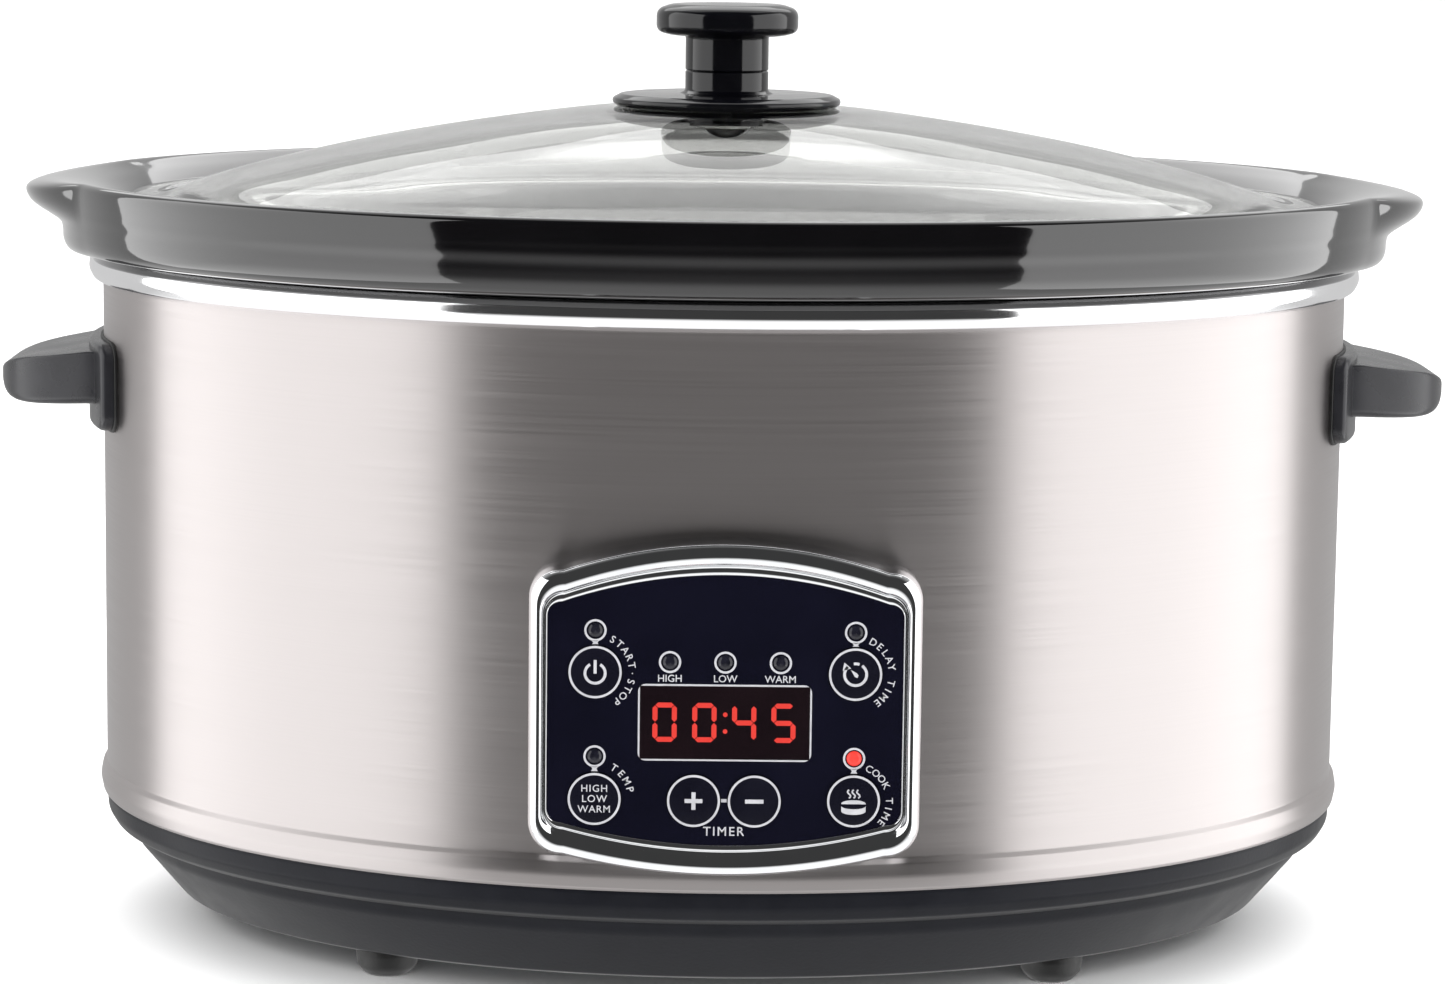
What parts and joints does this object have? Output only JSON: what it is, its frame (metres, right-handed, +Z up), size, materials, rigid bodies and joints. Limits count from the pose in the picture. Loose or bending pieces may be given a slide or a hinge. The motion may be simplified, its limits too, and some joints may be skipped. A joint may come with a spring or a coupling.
{
  "type": "slow cooker",
  "caption": "Oval slow cooker with a lift-out glazed crock, domed glass lid, brushed steel wall, side handles and a digital panel with push buttons.",
  "frame": {"origin": "middle of the footprint, on the table under the feet", "axes": "+X to the right along the long side, +Z up, the control panel faces -Y"},
  "size_m": [0.432, 0.314, 0.274],
  "materials": {
    "lid_glass": "clear tempered glass, slightly grey",
    "knob_black": "glossy black phenolic",
    "brass": "turned",
    "silicone_grey": "matt",
    "zinc_steel": "zinc plated",
    "black_glaze": "glossy black glaze on stoneware",
    "brushed_wall": "brushed along the wall, warm grey",
    "polished_rim": "polished stainless steel",
    "pot_aluminium": "plain drawn sheet",
    "heater_mica": "mica and glass tape",
    "glass_fibre": "glass fibre felt",
    "base_black": "fine matt moulded black",
    "foot_rubber": "black rubber",
    "handle_black": "satin moulded black",
    "bezel_chrome": "bright plated",
    "fascia_black": "blue black, glossy",
    "inner_plastic": "moulded",
    "display_smoke": "smoked red lens",
    "circuit_board": "green solder mask",
    "led_clear": "unlit lens",
    "led_red": "lit red lens",
    "button_black": "blue black, glossy",
    "winding_tape": "yellow tape",
    "relay_blue": "moulded",
    "terminal_green": "moulded",
    "wire_white": "glass sleeved wire",
    "ribbon_grey": "flat cable"
  },
  "bodies": {
    "housing": {"outer_wrap": "brushed_wall", "top_rim": "polished_rim", "heating_pot": "pot_aluminium", "heater_band": "heater_mica", "heater_strap": "zinc_steel", "insulation_blanket": "glass_fibre", "base_shell": "base_black", "bottom_cover": "zinc_steel", "base_screws": "zinc_steel", "tie_bolt": "zinc_steel", "tie_washer": "zinc_steel", "tie_nut": "zinc_steel", "foot_front_left": "foot_rubber", "foot_front_right": "foot_rubber", "foot_rear_left": "foot_rubber", "foot_rear_right": "foot_rubber", "foot_screws": "zinc_steel", "handle_left": "handle_black", "handle_right": "handle_black", "handle_gasket_left": "foot_rubber", "handle_gasket_right": "foot_rubber", "handle_backing_plates": "zinc_steel", "handle_screws": "zinc_steel", "panel_bezel": "bezel_chrome", "panel_fascia": "fascia_black", "panel_housing": "inner_plastic", "display_window": "display_smoke", "display_module": "inner_plastic", "control_board": "circuit_board", "board_screws": "zinc_steel", "tact_switches": "inner_plastic", "indicator_leds": "led_clear", "led_lenses": "led_clear", "led_lens_cook": "led_red", "power_board": "circuit_board", "power_transformer": "winding_tape", "relay": "relay_blue", "terminal_block": "terminal_green", "thermal_fuse": "heater_mica", "thermistor": "pot_aluminium", "sensor_clip": "zinc_steel", "heater_leads": "wire_white", "ribbon_cable": "ribbon_grey", "cord_gland": "handle_black", "gland_nut": "handle_black"},
    "crock": {"crock": "black_glaze"},
    "lid": {"lid_glass": "lid_glass", "knob_cap": "knob_black", "knob_insert": "brass", "knob_collar": "knob_black", "knob_gasket": "silicone_grey", "knob_washer": "zinc_steel", "knob_screw": "zinc_steel"},
    "button_start_stop": {"button_start_stop": "button_black"},
    "button_delay": {"button_delay": "button_black"},
    "button_temp": {"button_temp": "button_black"},
    "button_cook": {"button_cook": "button_black"},
    "button_plus": {"button_plus": "button_black"},
    "button_minus": {"button_minus": "button_black"}
  },
  "joints": [
    {"name": "crock_lift", "type": "slide", "parent": "housing", "child": "crock", "axis": [0, 0, 1], "range_m": [0, 0.15]},
    {"name": "lid_lift", "type": "slide", "parent": "crock", "child": "lid", "axis": [0, 0, 1], "range_m": [0, 0.08]},
    {"name": "press_start_stop", "type": "slide", "parent": "housing", "child": "button_start_stop", "axis": [0, 1, 0], "range_m": [0, 0.0006], "stiffness_N_per_m": 500},
    {"name": "press_delay", "type": "slide", "parent": "housing", "child": "button_delay", "axis": [0, 1, 0], "range_m": [0, 0.0006], "stiffness_N_per_m": 500},
    {"name": "press_temp", "type": "slide", "parent": "housing", "child": "button_temp", "axis": [0, 1, 0], "range_m": [0, 0.0006], "stiffness_N_per_m": 500},
    {"name": "press_cook", "type": "slide", "parent": "housing", "child": "button_cook", "axis": [0, 1, 0], "range_m": [0, 0.0006], "stiffness_N_per_m": 500},
    {"name": "press_plus", "type": "slide", "parent": "housing", "child": "button_plus", "axis": [0, 1, 0], "range_m": [0, 0.0006], "stiffness_N_per_m": 500},
    {"name": "press_minus", "type": "slide", "parent": "housing", "child": "button_minus", "axis": [0, 1, 0], "range_m": [0, 0.0006], "stiffness_N_per_m": 500}
  ]
}
